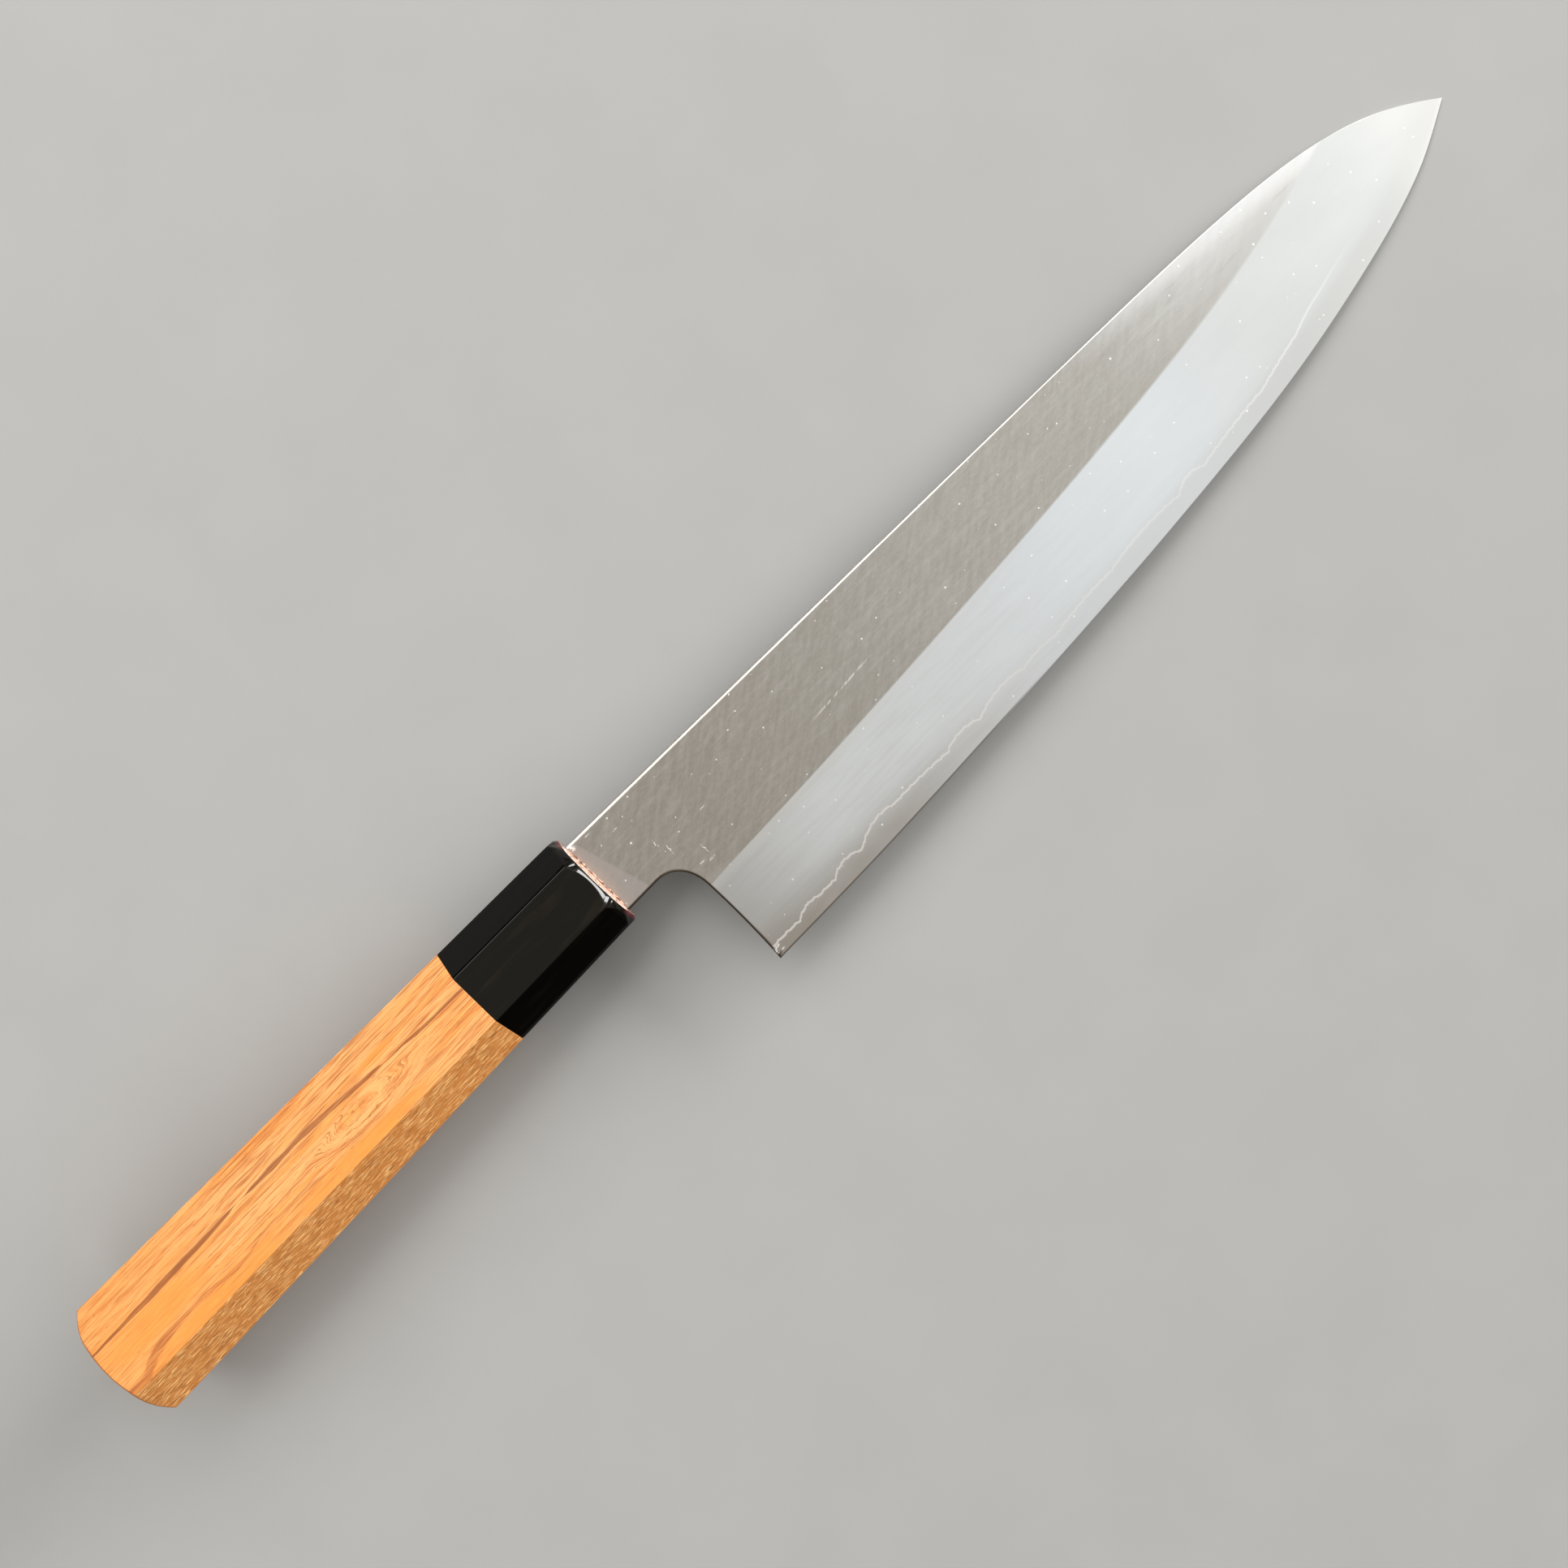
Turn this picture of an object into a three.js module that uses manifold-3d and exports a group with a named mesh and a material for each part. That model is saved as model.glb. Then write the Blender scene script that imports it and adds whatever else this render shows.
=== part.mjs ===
// Chef knife with a wide-bevel laminated blade and an octagonal wooden handle.
//
// Millimetres. X runs along the handle axis towards the tip, Y towards the spine, Z across the blade.
// The knife lies on its side with +Z up. The pieces are modelled around the middle of the ferrule's end
// face, and the finished group is then moved so that the middle of its base is the origin.
//
// Each piece is either lofted through rings that follow one another along X, or extruded from an outline
// in the XY plane. The blade is both: a lofted grind gives its thickness, an extruded outline its shape.
import * as THREE from "three";
import { mergeVertices } from "three/addons/utils/BufferGeometryUtils.js";
import Module from "manifold-3d";

const wasm = await Module();
wasm.setup();

// Handle
const HANDLE_LENGTH = 125.8; // ferrule and wood together
const FERRULE_LENGTH = 31.1;
const FRONT = { width: 21.6, thickness: 17.4, chamfer: 5.5 }; // octagon at the blade end
const BUTT = { width: 25.9, thickness: 20.0, chamfer: 6.8 }; // octagon at the butt
const SIDES = 8;
const FACET_STEPS = 6; // edges that each of the octagon's sides is divided into
const NOSE = { inset: 1.2, rim: 0.4, middle: 0.9, corner: 1.8 }; // rounding of the ferrule's front
const BUTT_END = { inset: 0.8, middle: 0.5, corner: 1.2 }; // rounding of the butt
const CROWN_INSET = 4.5; // where the ferrule's end face becomes flat

// Bores and glue space inside the handle
const DOWEL_RADIUS = 6.0;
const DOWEL_FRONT = -16.5;
const DOWEL_BACK = -48.0;
const DOWEL_BORE_RADIUS = 6.15;
const DOWEL_BORE_FRONT = -16.0;
const DOWEL_BORE_BACK = -48.5;
const TANG_BORE_RADIUS = 4.4;
const TANG_BORE_BACK = -92.0;
const FERRULE_SLOT = { height: 10.6, thickness: 4.0 };
const DOWEL_SLOT = { height: 9.4, thickness: 3.7 };
const BEDDING = { height: 9.9, thickness: 3.5, front: -0.3, back: -15.3 }; // opening round the tang
const ROUND_STEPS = 48;
const OVERRUN = 1; // how far a cut runs on past the piece that it cuts

// Blade outline
const NECK_FRONT = 0.1; // shoulders that stand against the ferrule
const NECK_RUN = 7.6; // where the straight lower side of the neck ends
const NECK_TOP = 8.4;
const NECK_BOTTOM = -8.75;
const CHOIL_BEND = [[11.4, NECK_BOTTOM], [13.7, -11.8], [13.9, -16]]; // from the neck round into the choil
const CHOIL_PULL = [14.15, -26]; // bows the choil a little on its way to the heel
const SPINE_BEND = [105.1, 5.55]; // the spine is straight up to here and then curves down
const SPINE_TAIL = [[204.7, 3.27], [190.1, 3.0]]; // what its curve leans towards, from the tip backwards
const TIP = [225.6, -12.0];
const HEEL = [13.4, -36.05];
const EDGE_BELLY = [[45, -35.9], [85, -34.65], [125, -32.7], [162, -29.5], [191, -24.5], [211, -19]];
const EDGE_STEPS = 56;
const CURVE_STEPS = 20;
const TANG_ROOT = 9.4; // height where the tang enters the ferrule
const TANG_TIP = 5.0;
const TANG_LENGTH = 88;

// Blade thickness, all measured from the middle plane to one side
const SPINE_HALF = 1.65;
const BLADE_TAPER = 0.0051; // loss of half thickness per millimetre towards the tip
const TANG_TAPER = 0.0062; // the same, towards the tang's end
const EDGE_HALF = 0.1;
const CORE_HALF = 0.25; // half the thickness of the hard middle layer
const BEVEL_AT_HEEL = 19.3; // height of the ground bevel
const BEVEL_GAIN = 2.0; // how much higher it is at the tip
const BELOW_EDGE = 1.0; // how far the grind runs past the outline, so that the outline cuts it
const ABOVE_SPINE = 30.0;

const steel = { metalness: 1, roughness: 0.28 };
const CORE_STEEL = new THREE.MeshStandardMaterial({ color: 0x9b938c, ...steel });
const CLAD_STEEL = new THREE.MeshStandardMaterial({ color: 0xd9dde0, ...steel });
const HORN = new THREE.MeshStandardMaterial({ color: 0x1c1815, metalness: 0, roughness: 0.18 });
const OAK = new THREE.MeshStandardMaterial({ color: 0xd08b4b, metalness: 0, roughness: 0.5 });
const DOWEL_WOOD = new THREE.MeshStandardMaterial({ color: 0xd9b98a, metalness: 0, roughness: 0.7 });
const ADHESIVE = new THREE.MeshStandardMaterial({ color: 0xb98a5a, metalness: 0, roughness: 0.5 });

// A closed body through rings of equally many points. The rings follow one another along +X, and each
// runs from +Y towards +Z. Both ends are closed with a fan.
function loft(rings) {
  const count = rings[0].length;
  const positions = rings.flat().flatMap((p) => [p.x, p.y, p.z]);
  const middle = (ring) => ring.reduce((sum, p) => sum.add(p), new THREE.Vector3()).divideScalar(count);
  positions.push(...middle(rings[0]), ...middle(rings.at(-1)));
  const first = rings.length * count;
  const last = first + 1;
  const index = [];
  for (let i = 0; i < count; i++) {
    const next = (i + 1) % count;
    for (let r = 0; r + 1 < rings.length; r++) {
      const a = r * count;
      const b = a + count;
      index.push(a + i, a + next, b + next, a + i, b + next, b + i);
    }
    const end = first - count;
    index.push(first, next, i, last, end + i, end + next);
  }
  const geometry = new THREE.BufferGeometry();
  geometry.setAttribute("position", new THREE.Float32BufferAttribute(positions, 3));
  geometry.setIndex(index);
  return geometry;
}

// A closed geometry as a solid that can be cut.
function solid(geometry) {
  const bare = geometry.clone();
  bare.deleteAttribute("normal");
  bare.deleteAttribute("uv");
  const merged = mergeVertices(bare, 1e-4);
  const vertProperties = merged.attributes.position.array;
  const triVerts = new Uint32Array(merged.index.array);
  return new wasm.Manifold(new wasm.Mesh({ numProp: 3, vertProperties, triVerts }));
}

// A cut solid as a named mesh.
function piece(name, body, material) {
  const { vertProperties, triVerts } = body.getMesh();
  const geometry = new THREE.BufferGeometry();
  geometry.setAttribute("position", new THREE.Float32BufferAttribute(vertProperties, 3));
  geometry.setIndex([...triVerts]);
  geometry.computeVertexNormals();
  const mesh = new THREE.Mesh(geometry, material);
  mesh.name = name;
  return mesh;
}

// A round bar or bore along X.
function rod(radius, front, back) {
  const geometry = new THREE.CylinderGeometry(radius, radius, front - back, ROUND_STEPS);
  geometry.rotateZ(-Math.PI / 2);
  geometry.translate((front + back) / 2, 0, 0);
  return solid(geometry);
}

// A rectangular bar or slot along X.
function bar({ height, thickness }, front, back) {
  const geometry = new THREE.BoxGeometry(front - back, height, thickness);
  geometry.translate((front + back) / 2, 0, 0);
  return solid(geometry);
}

// The handle's octagon at a place along X, made smaller on every side by inset.
function octagon(x, inset = 0) {
  const share = -x / HANDLE_LENGTH;
  const size = (key) => THREE.MathUtils.lerp(FRONT[key], BUTT[key], share);
  return {
    halfWidth: size("width") / 2 - inset,
    halfThickness: size("thickness") / 2 - inset,
    chamfer: size("chamfer") - inset * (2 - Math.SQRT2),
  };
}

// One point of the octagon: side counts from the one that ends on the top face, along runs from 0 to 1.
function octagonPoint(x, side, along, inset) {
  const { halfWidth, halfThickness, chamfer } = octagon(x, inset);
  const narrow = halfWidth - chamfer;
  const low = halfThickness - chamfer;
  const corners = [
    [halfWidth, low],
    [narrow, halfThickness],
    [-narrow, halfThickness],
    [-halfWidth, low],
    [-halfWidth, -low],
    [-narrow, -halfThickness],
    [narrow, -halfThickness],
    [halfWidth, -low],
  ];
  const [y0, z0] = corners[side];
  const [y1, z1] = corners[(side + 1) % corners.length];
  return new THREE.Vector3(x, THREE.MathUtils.lerp(y0, y1, along), THREE.MathUtils.lerp(z0, z1, along));
}

// A ring round the handle. place gives X from how near a point is to a corner: 0 in the middle of a side.
function handleRing(place, inset = 0) {
  const ring = [];
  for (let side = 0; side < SIDES; side++) {
    for (let step = 0; step < FACET_STEPS; step++) {
      const along = step / FACET_STEPS;
      const nearCorner = (2 * along - 1) ** 2;
      ring.push(octagonPoint(place(nearCorner), side, along, inset));
    }
  }
  return ring;
}

// The scalloped edge of an end: cut further back at the corners than in the middle of each side.
const scallop = (end, nearCorner) => THREE.MathUtils.lerp(end.middle, end.corner, nearCorner);

function ferrule() {
  const body = loft([
    handleRing(() => -FERRULE_LENGTH),
    handleRing((nearCorner) => -scallop(NOSE, nearCorner)),
    handleRing(() => -NOSE.rim, NOSE.inset),
    handleRing(() => 0, CROWN_INSET),
  ]);
  const cut = solid(body)
    .subtract(bar(FERRULE_SLOT, OVERRUN, DOWEL_BORE_FRONT - OVERRUN))
    .subtract(rod(DOWEL_BORE_RADIUS, DOWEL_BORE_FRONT, -FERRULE_LENGTH - OVERRUN));
  return piece("ferrule", cut, HORN);
}

function handleBody() {
  const body = loft([
    handleRing(() => -HANDLE_LENGTH, BUTT_END.inset),
    handleRing((nearCorner) => scallop(BUTT_END, nearCorner) - HANDLE_LENGTH),
    handleRing(() => -FERRULE_LENGTH),
  ]);
  const cut = solid(body)
    .subtract(rod(DOWEL_BORE_RADIUS, OVERRUN - FERRULE_LENGTH, DOWEL_BORE_BACK))
    .subtract(rod(TANG_BORE_RADIUS, OVERRUN + DOWEL_BORE_BACK, TANG_BORE_BACK));
  return piece("handle_body", cut, OAK);
}

function dowel() {
  const cut = rod(DOWEL_RADIUS, DOWEL_FRONT, DOWEL_BACK).subtract(bar(DOWEL_SLOT, 0, DOWEL_BACK - OVERRUN));
  return piece("dowel", cut, DOWEL_WOOD);
}

function tangBedding() {
  const fill = bar(FERRULE_SLOT, BEDDING.front, BEDDING.back);
  return piece("tang_bedding", fill.subtract(bar(BEDDING, OVERRUN, BEDDING.back - OVERRUN)), ADHESIVE);
}

const edgePoints = [HEEL, ...EDGE_BELLY, TIP].map(([x, y]) => new THREE.Vector2(x, y));
const edgeLine = new THREE.SplineCurve(edgePoints).getPoints(EDGE_STEPS);

// The blade and tang seen from the side, as a thick plate.
function sideOutline() {
  const outline = new THREE.Shape();
  outline.moveTo(NECK_FRONT, NECK_TOP);
  outline.lineTo(NECK_FRONT, TANG_ROOT / 2);
  outline.lineTo(-TANG_LENGTH, TANG_TIP / 2);
  outline.quadraticCurveTo(-TANG_LENGTH - TANG_TIP / 2, 0, -TANG_LENGTH, -TANG_TIP / 2);
  outline.lineTo(NECK_FRONT, -TANG_ROOT / 2);
  outline.lineTo(NECK_FRONT, NECK_BOTTOM);
  outline.lineTo(NECK_RUN, NECK_BOTTOM);
  outline.bezierCurveTo(...CHOIL_BEND.flat());
  outline.quadraticCurveTo(...CHOIL_PULL, ...HEEL);
  for (const point of edgeLine.slice(1)) outline.lineTo(point.x, point.y);
  outline.bezierCurveTo(...SPINE_TAIL.flat(), ...SPINE_BEND);
  outline.closePath();
  const depth = 4 * SPINE_HALF;
  const curveSegments = CURVE_STEPS;
  const plate = new THREE.ExtrudeGeometry(outline, { depth, bevelEnabled: false, curveSegments });
  plate.translate(0, 0, -depth / 2);
  return solid(plate);
}

// Where the grind is measured: behind the heel the edge line runs straight on.
function grindStations() {
  const [heelX, heelY] = HEEL;
  const [tipX, tipY] = TIP;
  const behind = [-TANG_LENGTH - TANG_TIP, 0].map((x) => ({ x, y: heelY }));
  return [...behind, ...edgeLine, { x: tipX + OVERRUN, y: tipY }].map(({ x, y }) => {
    const half = SPINE_HALF + (x < 0 ? TANG_TAPER : -BLADE_TAPER) * x;
    const share = Math.max(0, x - heelX) / (tipX - heelX);
    const bevel = BEVEL_AT_HEEL + BEVEL_GAIN * Math.sqrt(Math.min(1, share));
    const slope = (half - EDGE_HALF) / bevel;
    return {
      x,
      half,
      shoulder: y + bevel,
      coreLine: y + (CORE_HALF - EDGE_HALF) / slope,
      low: y - BELOW_EDGE,
      lowHalf: EDGE_HALF - slope * BELOW_EDGE,
      high: y + bevel + ABOVE_SPINE,
    };
  });
}

const ringAt = (x, corners) => corners.map(([y, z]) => new THREE.Vector3(x, y, z));

// The hard middle layer, which comes out at the edge, with its share of the tang.
function coreSteel(outline) {
  const rings = grindStations().map(({ x, low, lowHalf, coreLine, high }) =>
    ringAt(x, [
      [high, CORE_HALF],
      [coreLine, CORE_HALF],
      [low, lowHalf],
      [low, -lowHalf],
      [coreLine, -CORE_HALF],
      [high, -CORE_HALF],
    ]),
  );
  return piece("core_steel", solid(loft(rings)).intersect(outline), CORE_STEEL);
}

// One softer outer layer: the flat upper face, the bevel below it, and its share of the tang.
function cladding(name, side, outline) {
  const rings = grindStations().map(({ x, half, shoulder, coreLine, high }) => {
    const corners = [
      [coreLine, CORE_HALF],
      [high, CORE_HALF],
      [high, half],
      [shoulder, half],
    ];
    const sided = corners.map(([y, z]) => [y, side * z]);
    return ringAt(x, side > 0 ? sided : sided.reverse());
  });
  return piece(name, solid(loft(rings)).intersect(outline), CLAD_STEEL);
}

function knife() {
  const outline = sideOutline();
  const group = new THREE.Group();
  group.add(
    coreSteel(outline),
    cladding("cladding_right", 1, outline),
    cladding("cladding_left", -1, outline),
    ferrule(),
    handleBody(),
    dowel(),
    tangBedding(),
  );
  const box = new THREE.Box3().setFromObject(group);
  const middle = box.getCenter(new THREE.Vector3());
  group.position.set(-middle.x, -middle.y, -box.min.z);
  return group;
}

export default knife();
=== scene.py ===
"""The looks of a chef knife with a laminated blade and an octagonal handle, built round its CAD frame.

Shapes are worked out in millimetres in the knife's own axes: X along the handle towards the tip, Y towards
the spine, Z across the blade, with the middle of the ferrule's end face at zero. place() turns them into
metres in the frame's axes.
"""

import math

import bmesh
import bpy
import numpy as np
from mathutils import Matrix, Vector
from mathutils.geometry import delaunay_2d_cdt


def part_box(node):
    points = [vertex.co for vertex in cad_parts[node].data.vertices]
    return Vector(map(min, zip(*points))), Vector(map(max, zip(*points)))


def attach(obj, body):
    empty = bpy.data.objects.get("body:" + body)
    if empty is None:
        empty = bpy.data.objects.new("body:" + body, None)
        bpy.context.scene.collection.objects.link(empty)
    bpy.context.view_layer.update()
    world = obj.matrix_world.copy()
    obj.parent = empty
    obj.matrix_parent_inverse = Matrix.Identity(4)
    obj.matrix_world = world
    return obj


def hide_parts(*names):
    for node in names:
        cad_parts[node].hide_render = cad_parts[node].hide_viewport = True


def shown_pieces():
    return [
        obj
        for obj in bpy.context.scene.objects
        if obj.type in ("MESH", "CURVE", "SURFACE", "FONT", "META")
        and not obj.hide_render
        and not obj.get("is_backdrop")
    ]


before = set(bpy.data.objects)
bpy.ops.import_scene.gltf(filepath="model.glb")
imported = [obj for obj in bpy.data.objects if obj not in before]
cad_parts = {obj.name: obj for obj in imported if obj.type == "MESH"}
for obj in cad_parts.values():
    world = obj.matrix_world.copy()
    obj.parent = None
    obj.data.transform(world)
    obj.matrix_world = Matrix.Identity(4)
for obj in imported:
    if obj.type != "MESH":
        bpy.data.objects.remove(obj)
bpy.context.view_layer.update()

MM = 0.001
ferrule_low, ferrule_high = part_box("ferrule")
ORIGIN = Vector((ferrule_high.x, (ferrule_low.y + ferrule_high.y) / 2,
                 (ferrule_low.z + ferrule_high.z) / 2))

# Handle
HANDLE_LENGTH = 125.8
FERRULE_LENGTH = 31.1
FRONT = {"width": 21.6, "thickness": 17.4, "chamfer": 5.5}
BUTT = {"width": 25.9, "thickness": 20.0, "chamfer": 6.8}
SIDES = 8
SIDE_STEPS = 12
CORNER_STEPS = 4
CORNER_RADIUS = 0.45  # softened ridge between two flats of the octagon

# The worked edge of an end: how far it reaches in and back, and how far the face lies behind the
# crown's top there. Pairs give the middle of a flat and a ridge. Roundness 1 is a straight chamfer,
# 2 a quarter round. The crown is how far in from the edge the face still rises.
NOSE = {"inset": (0.56, 1.6), "depth": (0.62, 2.0), "face": (0.12, 0.12), "crown": 3.5, "roundness": 1.1}
BUTT_END = {"inset": (0.5, 0.7), "depth": (0.5, 0.7), "face": (0.0, 0.55), "crown": 8.0, "roundness": 2.0}
ROUND_STEPS = 6

FACE_STEPS = (0.5, 1.2, 2.2, 3.6, 5.2, 6.6)  # how far in from the edge an end face has rings
FERRULE_RINGS = np.linspace(-28, -4, 13)
WOOD_RINGS = np.linspace(-36, -122, 44)
EASE = 0.06  # tiny chamfer on each side of the joint between horn and wood
DOWEL_BORE = {"radius": 6.15, "front": -16.0, "back": -48.5}
TANG_BORE = {"radius": 4.4, "back": -92.0}
FERRULE_SLOT = (5.3, 2.0)  # half height and half thickness
BEDDING_OPENING = (4.95, 1.75)
BEDDING_FRONT = -0.1
BEDDING_BACK = -15.3
BEDDING_GAP = 0.04
SLOT_POWER = 8  # how square the slot's corners are
SLOT_EASE = 0.1

# What was squeezed out beside the neck, how far behind the neck's front it starts, and how deep in its side
BEAD = {"width": 0.42, "height": 0.3, "top": 7.6, "bottom": -8.1, "steps": 60, "sides": 8}
BEAD_BEHIND = 0.12
BEAD_IN_NECK = 0.04

# Blade
NECK_FRONT = 0.1
NECK_RUN = 7.6
NECK_TOP = 8.4
NECK_BOTTOM = -8.75
SPINE_BEND = (105.1, 5.55)
SPINE_TAIL = ((190.1, 3.0), (204.7, 3.27))
TIP = (225.6, -12.0)
HEEL = (13.4, -36.05)
CHOIL_BEND = ((11.4, NECK_BOTTOM), (13.7, -11.8), (13.9, -16.0))
CHOIL_PULL = (14.15, -26.0)
EDGE_POINTS = (HEEL, (45, -35.9), (85, -34.65), (125, -32.7), (162, -29.5), (191, -24.5), (211, -19), TIP)
TANG_ROOT = 9.4
TANG_TIP = 5.0
TANG_LENGTH = 88.0
TANG_NOSE = 1.2
SPINE_HALF = 1.65
BLADE_TAPER = 0.0051
TANG_TAPER = 0.0062
EDGE_HALF = 0.05
CORE_HALF = 0.2
CORE_TAPER = 0.0004
CORE_SHARE = 0.65  # the most of the blade's thickness that the middle layer takes, above the layer line
BEVEL_AT_HEEL = 19.3
BEVEL_GAIN = 2.0
BEVEL_BELLY = 0.05  # how far the ground bevel swells between ridge and edge
HONED = 0.5  # height of the honed strip along the edge
HONED_DROP = 0.03
RIDGE_SOFT = ((HEEL[0], 0.12), (120, 0.22), (200, 0.35))  # half the width over which the ridge is rounded

# Width of the eased corner along the spine, and where it flattens out towards the tip
SPINE_EASE = ((0, 0.72), (110, 0.42), (205, 0.2), (218, 0.12))
EASE_FADE = (203, 216)
CHOIL_EASE = 0.5
CHOIL_RIM = 0.6  # width of the strip of painted shade along the notch
CHOIL_EASE_AT_HEEL = 0.06
CHOIL_EASE_RUN = 12  # height over the heel within which the eased corner's rows draw together
EASE_LIMIT = 0.6  # the most of half the thickness that an eased corner takes

# How far an eased corner drops at each row in from the rim: a soft chamfer, and a quarter round
EASE_ROWS = (0.0, 0.06, 0.2, 0.5, 0.8, 1.0)
SPINE_DROP = (0.62, 0.47, 0.34, 0.19, 0.045, 0.0)
CHOIL_DROP = (1.0, 0.66, 0.4, 0.134, 0.02, 0.0)

LINE_ABOVE = 0.4  # reach of the light line above and below the place where the layers meet
LINE_BELOW = 0.28

# Rows of points that the blade's side view follows, and how densely it is filled between them
OUTER_ROW = 1.25  # one row more, beyond an eased corner, in widths of it
RIM_ROW = 1.2  # the same beyond the strip of painted shade
CHOIL_STOP = 2  # how many points before the heel a row beside the notch stops
EDGE_PART = slice(2, -6)
RIDGE_ROWS = (-1.3, -1, 0, 1, 1.3)  # in widths of the ridge's rounding
RIDGE_STEP = 1.5
RIDGE_END = 212
LINE_ROWS = (0, LINE_ABOVE, -LINE_BELOW, 3 * LINE_ABOVE, -3 * LINE_BELOW)
LINE_STEP = 0.4
GRID_START = (-90, -35)
GRID_STEP = (2.5, 1.7)
GRID_SHIFT = 0.6
RIM_CLEARANCE = 1.0
ROW_CLEARANCE = 0.8944
MERGE_WITHIN = 1e-4

# Dips of the line between the layers: place along the blade, height over the edge, and how far the lobe
# that follows rises over the straight way to the next dip.
LAYER_DIPS = (
    (12.0, 2.4, 0.2), (21.3, 2.3, 0.8), (27.0, 3.0, 0.1), (31.6, 2.9, 1.3), (39.3, 3.0, 1.4),
    (49.8, 4.6, 0.3), (64.4, 3.7, 1.1), (73.5, 3.3, 1.2), (86.4, 3.6, 0.5), (95.4, 3.2, 0.5),
    (112.0, 3.4, 0.9), (132.1, 2.85, 1.3), (139.4, 2.9, 0.4), (158.4, 3.3, 0.2), (171.0, 4.4, 0.3),
    (180.0, 5.4, 0.2), (196.0, 5.6, 0.1), (208.0, 4.5, 0.0), (217.0, 2.3, 0.0), (225.9, 0.2, 0.0),
)
LAYER_RIPPLES = ((0.09, 2.9, 0.0), (0.06, 5.3, 1.0), (0.05, 8.1, 2.0))  # size, rate and shift of fine waves
RIPPLE_FADE = ((150, 1.0), (185, 0.2))

# How the knife lies before the camera
CAMERA_HEIGHT = 298.0
LENS = 34.66
SENSOR = 36.0
YAW = math.radians(45.83)
PITCH = math.radians(2.14)
FACE_ON_TABLE = Vector((-35.84, -17.94, 8.58))  # ferrule's end face, from the spot under the camera
from_table = (Matrix.Rotation(YAW, 3, "Z") @ Matrix.Rotation(PITCH, 3, "Y")).transposed()


def place(points):
    """Points in millimetres in the knife's axes, as metres in the frame's."""
    return np.asarray(points, float) * MM + np.array(ORIGIN)


def add_object(name, data):
    made = bpy.data.objects.new(name, data)
    bpy.context.scene.collection.objects.link(made)
    return made


# ------------------------ meshes


def make_piece(name, points, faces, material, node, crease=32):
    """A smooth closed piece that stands for one CAD node."""
    mesh = bpy.data.meshes.new(name)
    mesh.from_pydata([tuple(p) for p in place(points)], [], faces)
    mesh.update()
    work = bmesh.new()
    work.from_mesh(mesh)
    bmesh.ops.recalc_face_normals(work, faces=work.faces)
    work.to_mesh(mesh)
    work.free()
    mesh.polygons.foreach_set("use_smooth", [True] * len(mesh.polygons))
    mesh.set_sharp_from_angle(angle=math.radians(crease))
    mesh.materials.append(material)
    piece = add_object(name, mesh)
    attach(piece, "root")
    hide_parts(node)
    return piece


def add_values(piece, name, values):
    """One number for each point of a piece, for its material to read."""
    attribute = piece.data.attributes.new(name, "FLOAT", "POINT")
    attribute.data.foreach_set("value", np.asarray(values, np.float32))


def ring_faces(rings, start, looped):
    """Quads between rings of equally many points that follow one another."""
    count = len(rings[0])
    faces = []
    pairs = len(rings) if looped else len(rings) - 1
    for r in range(pairs):
        a = start + r * count
        b = start + (r + 1) % len(rings) * count
        for i in range(count):
            j = (i + 1) % count
            faces.append((a + i, a + j, b + j, b + i))
    return faces


# ------------------------ handle


def octagon(x):
    """The handle's cross-section: points round it, and how near each is to a ridge."""
    share = -x / HANDLE_LENGTH
    half_width, half_thickness, chamfer = (
        FRONT[key] + (BUTT[key] - FRONT[key]) * share for key in ("width", "thickness", "chamfer"))
    half_width, half_thickness = half_width / 2, half_thickness / 2
    narrow, low = half_width - chamfer, half_thickness - chamfer
    corners = [(half_width, -low), (half_width, low), (narrow, half_thickness),
               (-narrow, half_thickness), (-half_width, low), (-half_width, -low),
               (-narrow, -half_thickness), (narrow, -half_thickness)]
    points, nearness = [], []
    turn = math.pi / SIDES
    cut = CORNER_RADIUS * math.tan(turn)
    for k in range(SIDES):
        before, corner, after = (Vector(corners[(k + i) % SIDES]) for i in (-1, 0, 1))
        come, leave = (corner - before).normalized(), (after - corner).normalized()
        inward = (leave - come).normalized()
        centre = corner + inward * (CORNER_RADIUS / math.cos(turn))
        for step in range(CORNER_STEPS):
            angle = turn * (2 * step / CORNER_STEPS - 1)
            out = Matrix.Rotation(angle, 2) @ (-inward)
            points.append(centre + out * CORNER_RADIUS)
            nearness.append(1.0)
        start, end = corner + leave * cut, after - leave * cut
        for step in range(SIDE_STEPS):
            along = step / SIDE_STEPS
            points.append(start.lerp(end, along))
            nearness.append((2 * along - 1) ** 2)
    return np.array(points), np.array(nearness)


def handle_ring(x, inset=0.0):
    """A ring round the handle. x and inset may differ from point to point, where an end is scalloped."""
    flat = octagon(float(np.mean(x)))[0]
    reach = np.linalg.norm(flat, axis=1)
    flat *= (1 - inset / reach)[:, None]
    return np.column_stack([np.broadcast_to(x, len(flat)), flat])


def end_rings(end, direction, end_x):
    """The rounding of one end of the handle, and its end face as far in as it is crowned."""
    nearness = octagon(end_x)[1]
    pairs = (end[key] for key in ("inset", "depth", "face"))
    inset, depth, face = (low + (high - low) * nearness for low, high in pairs)
    rings = []
    for angle in np.linspace(0, math.pi / 2, ROUND_STEPS + 1):
        power = 2 / end["roundness"]
        reach, rise = abs(math.cos(angle)) ** power, math.sin(angle) ** power
        rings.append(handle_ring(end_x - direction * (face + depth * (1 - rise)), inset * (1 - reach)))
    for further in (*[step for step in FACE_STEPS if step < end["crown"]], end["crown"]):
        share = 1 - further / end["crown"]
        rings.append(handle_ring(end_x - direction * face * share**2, inset * share + further))
    return rings


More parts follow.
